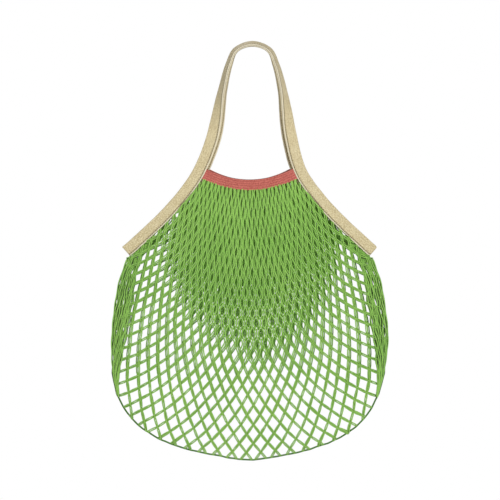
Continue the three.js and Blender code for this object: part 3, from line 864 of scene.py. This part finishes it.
def rings_around(middle, along, lean, radius):
    """Rings of points round each middle, square to the way along, the first one on the leaning side."""
    across = normalised(lean - along * (lean * along).sum(-1, keepdims=True))
    over = np.cross(across, along)
    angle = np.arange(SIDES) * 2 * np.pi / SIDES
    around = across[..., None, :] * np.cos(angle)[:, None] + over[..., None, :] * np.sin(angle)[:, None]
    return middle[..., None, :] + around * radius[..., None, None]


def net_piece(name, points, side, material, seed):
    """One face of the net as thread tubes that share a ring of points wherever they join.

    Each thread runs on a curve through its upper join, two points on its leg and its lower join. The
    curve goes on into the next thread there, and at a fold into its own mirror image.
    """
    rng = np.random.default_rng(seed)
    is_free = (np.arange(len(points)) < FREE)[:, None]
    points = points + rng.normal(0, 1, points.shape) * JITTER * is_free
    points[:, 0] = np.clip(points[:, 0], BAG_MIDDLE - WIDEST, BAG_MIDDLE + WIDEST)
    points[:, 1] += BAND_CLEAR * np.clip(1 - MESHES[:, 1], 0, 1)
    a, b = LEGS.T
    line = points[b] - points[a]
    flat = normalised(line * (1, 0, 1))
    to_left = np.stack([flat[:, 2], 0 * flat[:, 2], -flat[:, 0]], 1)
    column = column_run(points)
    openness = open_share(points, column)
    room = np.linalg.norm(column, axis=1)
    leg_open, leg_room = (openness[a] + openness[b]) / 2, (room[a] + room[b]) / 2

    # The two threads of each leg, left and right, at two points along it.
    spread = lerp(np.interp(leg_room, SHUT_WIDTHS, SHUT_SPREAD[side]), OPEN_SPREAD, leg_open)
    deep = lerp(SHUT_DEPTH, OPEN_DEPTH, leg_open)
    deep *= np.sign(rng.normal(0, 1, len(a))) * rng.uniform(0.7, 1.1, len(a))
    to_thread = to_left * spread[:, None] - (0, 1, 0) * deep[:, None]
    apart = np.stack([to_thread, -to_thread], 1)
    first, second = (
        (points[a][:, None] + line[:, None] * t + apart).reshape(-1, 3) for t in (0.3, 0.7)
    )

    # The joins: four at each free crossing, in the order of joins(), and two at each cut end.
    centre = points[:FREE]
    out = np.array([0.0, -JOIN_DEPTH, 0.0])
    reach = lerp(np.interp(room, SHUT_WIDTHS, SHUT_TURN), OPEN_TURN, openness)
    turn = (normalised(column) * reach[:, None])[:FREE]
    at_crossings = np.stack([centre - turn, centre + turn, centre + out, centre - out], 1)
    onward = np.zeros((len(CUT), 3))
    pair = np.zeros((len(CUT), 2, 3))
    for ends, sign in ((a, -1), (b, 1)):
        cut = ends >= FREE
        onward[ends[cut] - FREE] = sign * normalised(line[cut])
        pair[ends[cut] - FREE] = apart[cut]
    pair[PART == BAND_PART, :, 1] = 0
    at_cuts = (points[FREE:] + onward * RUN_ON[PART][:, None])[:, None]
    at_cuts = at_cuts + pair * ENDS_APART[PART][:, None, None]
    at_cuts[PART == FOLD_PART, :, 1] = -0.4
    at_cuts[:, :, 0] -= np.sign(at_cuts[:, :, 0] - BAG_MIDDLE) * DRAWN_IN[PART][:, None]
    place = np.vstack([at_crossings.reshape(-1, 3), at_cuts.reshape(-1, 3)])
    count = len(place)

    # The threads that end and start at each join, and their slope on through it.
    upper, lower = joins()
    threads = np.arange(2 * len(LEGS))
    incoming, outgoing = np.full(count, -1), np.full(count, -1)
    incoming[lower], outgoing[upper] = threads, threads
    starts, ends = (incoming < 0)[:, None], (outgoing < 0)[:, None]
    at_fold = np.append(np.zeros(4 * FREE, bool), np.repeat(PART == FOLD_PART, 2))[:, None]
    before = np.where(starts, 2 * place - first[outgoing], second[incoming])
    before = np.where(starts & at_fold, first[outgoing] * (1, -1, 1), before)
    after = np.where(ends, 2 * place - second[incoming], first[outgoing])
    after = np.where(ends & at_fold, second[incoming] * (1, -1, 1), after)
    left_of = np.repeat(to_left, 2, axis=0)
    lean = np.where(starts, 0, left_of[incoming]) + np.where(ends, 0, left_of[outgoing])

    # The rings: one at each join, and four of its own along each thread.
    line_up = [before[upper], place[upper], first, second, place[lower], after[lower]]
    stops = [on_curve(*line_up[span - 1:span + 3], t) for span, t in ((1, 0.5), (2, 0.0), (3, 0.0), (3, 0.5))]
    centres, slopes = (np.stack(values, 1) for values in zip(*stops))
    fuller = THREAD * lerp(SHUT_FULLNESS, 1.0, openness)
    thick = np.append(np.repeat(fuller[:FREE], 4), np.repeat(fuller[FREE:], 2))
    thick = thick * rng.normal(1, UNEVEN, count)
    body = THREAD * lerp(SHUT_FULLNESS, 1.0, np.repeat(leg_open, 2))[:, None]
    body = body * rng.normal(1, UNEVEN, (len(threads), 4))
    join_rings = rings_around(place, normalised(after - before), lean, thick)
    body_rings = rings_around(centres, normalised(slopes), left_of[:, None], body)
    vertices = np.vstack([join_rings.reshape(-1, 3), body_rings.reshape(-1, 3)])
    around = np.arange(SIDES)
    own = count * SIDES + (threads[:, None, None] * 4 + np.arange(4)[:, None]) * SIDES + around
    from_join, to_join = (join[:, None, None] * SIDES + around for join in (upper, lower))
    ring_ids = np.concatenate([from_join, own, to_join], axis=1)
    p, q = ring_ids[:, :-1], ring_ids[:, 1:]
    walls = np.stack([p, np.roll(p, -1, axis=2), np.roll(q, -1, axis=2), q], -1).reshape(-1, 4)
    faces = [walls, ring_ids[incoming[upper] < 0, 0], ring_ids[outgoing[lower] < 0, -1, ::-1]]
    piece = mesh_piece(name, vertices, faces, material, to_back=side > 0)
    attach(piece, "root")
    return piece


# Soft, loosely twisted cotton: a fresh green, nearly dull, with painted shade that turns it very dark
# where threads lie close together, so each thread stays lighter along its middle. Its nap is drawn coarser
# than real fibres, which can't be seen.
green_cotton = yarn_material("green cotton yarn", "aee070", "72b040", "123604")
BACK = back_sheet(FRONT)
front_net = net_piece("net_front", FRONT, -1, green_cotton, 11)
back_net = net_piece("net_back", BACK, 1, green_cotton, 12)
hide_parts("net_pouch")
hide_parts("net_pouch")


# Side gathers. The tube's outermost columns never open: below each slit they hang shut, as a flat
# bundle of cord that follows the fold, is widest a third of the way down and ends at the seam corner.
GATHER_THREADS = 10  # in each of its four layers
# The face that each layer lies on, and how far it lies under the outermost one.
GATHER_LAYERS = ((-1, 0.0), (-1, 2.2), (1, 2.2), (1, 0.0))
# The bundle's width in rows down the fold, each after its share of the drop.
GATHER_WIDTHS = np.array([
    (-0.26, 62), (-0.1, 34), (0, 21), (0.12, 21), (0.3, 25), (0.55, 22), (0.78, 13), (0.92, 5), (1, 2.5),
])
GATHER_ROW = 27.0  # from crossing to crossing along the bundle
GATHER_SWAY = 0.85  # of a thread between its crossings
GATHER_LOOSE = 0.7  # and at random
GATHER_DEPTH = 9.5  # from the middle to the outermost layer, where the bundle is full
GATHER_FLAT = 1.5  # and at its ends
GATHER_INSET = 0.9  # from the fold to the middle of the nearest thread
GATHER_START = 14.0  # below the slit, where the fold has turned to run down
GATHER_RISE = 40.0  # from there its line runs on straight up, under the tape
GATHER_TUCK = 2.0  # threads end this far in under the tape's edge
GATHER_TOP = 55.0  # no thread starts higher above the slit's end
GATHER_PAST = 5.0  # and none ends further below the seam's corner


def gather_paths(side, rng):
    """The threads of one side's bundle, layer by layer, from under the tape to the seam.

    Each thread keeps its lane beside the fold: a share of the bundle's width at that height. It
    swings about its lane by a sine, and forward and back by a cosine, against its neighbour.
    """
    outline, _, part = half_outline(front_path, side)
    tape, fold = outline[part == TAPE_PART][::-1], outline[part == FOLD_PART]
    slit_end, corner = tape[0, 2], fold[-1, 2]
    fold = fold[fold[:, 2] < slit_end - GATHER_START]
    upward = fold[0] - fold[6]
    fold = np.vstack([fold[0] + upward * GATHER_RISE / upward[2], fold])[::-1]
    low_end = corner - GATHER_PAST
    height = np.linspace(slit_end + GATHER_TOP, low_end, 160)
    tape_edge = np.interp(height, tape[:, 2], tape[:, 0] + side * GATHER_TUCK)
    paths = []
    for face, under in GATHER_LAYERS:
        for k in range(GATHER_THREADS):
            between = 0.25 if under == 0 else 0.75  # an inner thread lies between two outer ones
            lane = (k + between) / GATHER_THREADS
            width = np.interp((slit_end - height) / (slit_end - corner), *GATHER_WIDTHS.T)
            x = np.interp(height, fold[:, 2], fold[:, 0]) - side * (GATHER_INSET + lane * width)
            hidden = (height >= slit_end - 4) & (side * (x - tape_edge) >= 0)
            start = height[np.flatnonzero(hidden)[-1]] if hidden.any() else height[0]
            places = np.linspace(start, low_end + rng.uniform(0, 6), 78)
            x = np.interp(places, height[::-1], x[::-1])
            share = (slit_end - places) / (slit_end - corner)
            width = np.interp(share, *GATHER_WIDTHS.T)
            turn = 2 * np.pi * places / GATHER_ROW + np.pi * (k // 2) + rng.normal(0, 0.3)
            knots = np.linspace(places[-1], places[0], 9)
            sway = GATHER_SWAY * np.sin(turn) * (-1) ** k
            sway += np.interp(places, knots, rng.normal(0, GATHER_LOOSE, 9))
            sway *= np.clip(width / 15, 0.2, 1) * min(1, 0.25 + 4 * lane)
            full = np.clip(share * 7, 0, 1) * np.sqrt(np.clip((0.15 + lane) * width / 25, 0, 1))
            piled = np.clip(full * 2, 0, 1)
            deep = lerp(GATHER_FLAT, GATHER_DEPTH, full) + 0.8 * np.cos(turn) * (-1) ** k * piled
            paths.append(np.stack([x - side * sway, face * (deep - under * piled), places], 1))
    return np.array(paths)


gather_rng = np.random.default_rng(21)
for side, name in ((-1, "net_gather_left"), (1, "net_gather_right")):
    gather = gather_paths(side, gather_rng)
    wide = THREAD * gather_rng.normal(0.98, 0.06, gather.shape[:2])
    piece = mesh_piece(name, *tubes(gather, wide), green_cotton)
    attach(piece, "root")
    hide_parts("net_pouch")


# Bottom seam. A cord of the same cotton, in a darker green, is drawn through the lowest meshes of
# both faces along the curved bottom edge, and so closes the bag.
SEAM_RADIUS = 1.3
SEAM_TOP = -440.0  # it starts and ends inside the bundles, at this height
SEAM_TUCK = 3.0  # where it is drawn in by this much, less and less over the next
SEAM_TUCKED = 16.0
SEAM_RISE = 0.6  # above the net's lowest crossings
SEAM_WAVER = 0.35  # up and down, between places this far apart
SEAM_KNOT = 9.0
left, right = half_outline(front_path, -1), half_outline(front_path, 1)
left_seam, right_seam = (points[part >= FOLD_PART] for points, _, part in (left, right))
seam_line = np.vstack([left_seam, right_seam[-2::-1]])
seam_line = seam_line[seam_line[:, 2] < SEAM_TOP] * (1, 0, 1)
seam_length = length_along(seam_line)
seam_places = np.arange(0, seam_length[-1], SECTION_STEP)
seam_path = sampled(seam_places, seam_length, seam_line)
seam_ends = np.clip(1 - np.minimum(seam_places, seam_places[-1] - seam_places) / SEAM_TUCKED, 0, 1)
seam_path[:, 0] -= np.sign(seam_path[:, 0] - BAG_MIDDLE) * SEAM_TUCK * seam_ends
seam_knots = np.arange(0, 2 * NET_WIDTH, SEAM_KNOT)
seam_waver = np.random.default_rng(5).normal(0, SEAM_WAVER, len(seam_knots))
seam_path[:, 2] += SEAM_RISE + np.interp(seam_places, seam_knots, seam_waver)
# The same cotton in a darker green, packed hard: a thin dark line that ends the net below.
# Its third colour is the painted shade where it lies close to the net.
seam_green = yarn_material("dark green seam thread", "578a34", "33601c", "1d4208")
seam = mesh_piece("seam_cord", *tubes(seam_path[None], SEAM_RADIUS), seam_green)
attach(seam, "root")
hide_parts("net_pouch")


# Studio. A plain pale floor stands well below the bag, in front of a plain white surround. One soft
# lamp from the upper right models the threads, a wide one from the left opens their shadows, and one
# from behind lights the back face.
FLOOR_Z, FLOOR_SIDE, FLOOR_BACK = -765.0, 3000.0, 2600.0
SURROUND_LIGHT = 0.22  # of the surround, which the camera sees as plain white
FRAME_WIDTH = 0.700  # metres that the picture shows across, at the bag
CAMERA_AWAY = 10.0  # far off, for the picture shows no perspective
CAMERA_X, CAMERA_Z = -0.0035, -0.2849  # straight ahead of the picture's middle
# Matt, nearly white paint, so that the floor gives no colour to the bag.
studio_paint, _, paint_surface = new_material("pale studio floor")
paint_surface.inputs["Base Color"].default_value = colour("f2f2f0")
paint_surface.inputs["Roughness"].default_value = 0.8
floor_corners = np.array([
    (-FLOOR_SIDE, -FLOOR_SIDE, FLOOR_Z), (FLOOR_SIDE, -FLOOR_SIDE, FLOOR_Z),
    (FLOOR_SIDE, FLOOR_BACK, FLOOR_Z), (-FLOOR_SIDE, FLOOR_BACK, FLOOR_Z),
])
floor = mesh_piece("studio_floor", floor_corners, [np.arange(4)[None]], studio_paint, smooth=False)

world = bpy.data.worlds.new("studio surround")
bpy.context.scene.world = world
world.use_nodes = True
sky = world.node_tree
sky.nodes.clear()
ray = node(sky, "ShaderNodeLightPath")  # its first output tells the camera's own rays
seen = weighed(sky, [(ray, 1.0 - SURROUND_LIGHT)], SURROUND_LIGHT)
backdrop = node(sky, "ShaderNodeBackground", {"Color": (1.0, 1.0, 1.0, 1.0), "Strength": seen})
node(sky, "ShaderNodeOutputWorld", {"Surface": backdrop.outputs[0]})


def area_lamp(name, place, target, size, power):
    """A soft square lamp in metres that faces its target."""
    light = bpy.data.lights.new(name, "AREA")
    light.size = size
    light.energy = power
    lamp = bpy.data.objects.new(name, light)
    lamp.location = place
    way = np.array(target) - place
    flat = np.hypot(way[0], way[1])
    lamp.rotation_euler = (np.arctan2(flat, -way[2]), 0.0, np.arctan2(-way[0], way[1]))
    bpy.context.scene.collection.objects.link(lamp)


area_lamp("key lamp", (1.3, -2.8, 1.2), (0, 0, -0.3), 0.8, 58)
area_lamp("fill lamp", (-1.9, -2.4, 0.1), (0, 0, -0.3), 1.4, 17)
area_lamp("rear lamp", (-0.8, 2.4, 1.2), (0, 0, -0.3), 1.2, 28)

camera_data = bpy.data.cameras.new("camera")
camera = bpy.data.objects.new("camera", camera_data)
bpy.context.scene.collection.objects.link(camera)
camera_data.sensor_width = 36.0
camera_data.lens = camera_data.sensor_width * CAMERA_AWAY / FRAME_WIDTH
camera_data.clip_end = 60.0
camera.location = (CAMERA_X, -CAMERA_AWAY, CAMERA_Z)
camera.rotation_euler = (np.pi / 2, 0.0, 0.0)
bpy.context.scene.camera = camera
bpy.context.scene.view_settings.view_transform = "Standard"
